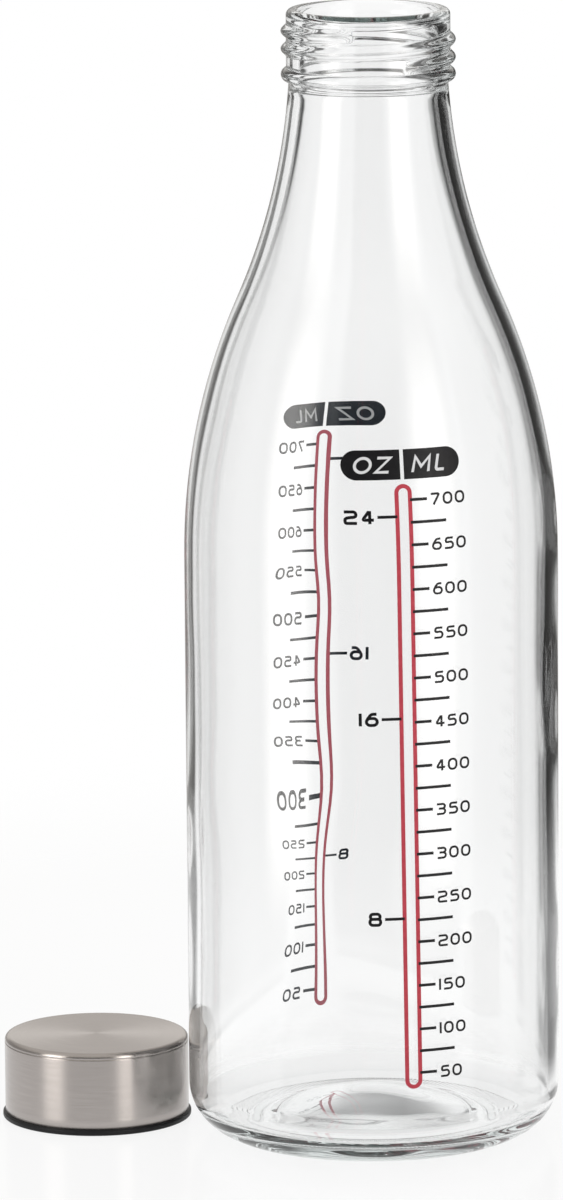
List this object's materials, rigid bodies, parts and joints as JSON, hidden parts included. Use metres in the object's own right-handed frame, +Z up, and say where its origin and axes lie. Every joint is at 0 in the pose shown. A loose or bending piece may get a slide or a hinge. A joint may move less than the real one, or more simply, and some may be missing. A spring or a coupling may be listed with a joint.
{
  "type": "measuring bottle",
  "caption": "Clear glass bottle with a printed millilitre and ounce scale, and a brushed steel screw cap with a black threaded insert, shown taken off beside it.",
  "frame": {"origin": "on the bottle's axis, in the plane that the bottle and its cap stand on", "axes": "+Z up along the bottle's axis, out of the mouth; the front of the bottle faces -Y, and the cap stands on the -X side, a little behind"},
  "size_m": [0.1269, 0.0841, 0.256],
  "materials": {
    "clear_glass": "clear, polished",
    "black_enamel": "fired enamel print, satin",
    "red_enamel": "fired enamel print, satin",
    "brushed_steel": "spun brushed on top, fine brushed round the side",
    "black_plastic": "satin moulded",
    "seal_foam": "soft, matt"
  },
  "bodies": {
    "bottle": {"glass_bottle": "clear_glass", "front_header": "black_enamel", "front_tube": "red_enamel", "front_ml_marks": "black_enamel", "front_oz_marks": "black_enamel", "rear_header": "black_enamel", "rear_tube": "red_enamel", "rear_ml_marks": "black_enamel", "rear_oz_marks": "black_enamel"},
    "liner": {"cap_seal": "seal_foam"},
    "cap": {"cap_shell": "brushed_steel", "cap_insert": "black_plastic"}
  },
  "joints": [
    {"name": "cap_lift", "type": "slide", "parent": "bottle", "child": "liner", "axis": [0, 0, 1], "range_m": [0, 0.27]},
    {"name": "cap_turn", "type": "hinge", "parent": "liner", "child": "cap", "pos_m": [-0.06333, 0.01485, 0.01], "axis": [0, 0, 1], "continuous": true}
  ]
}
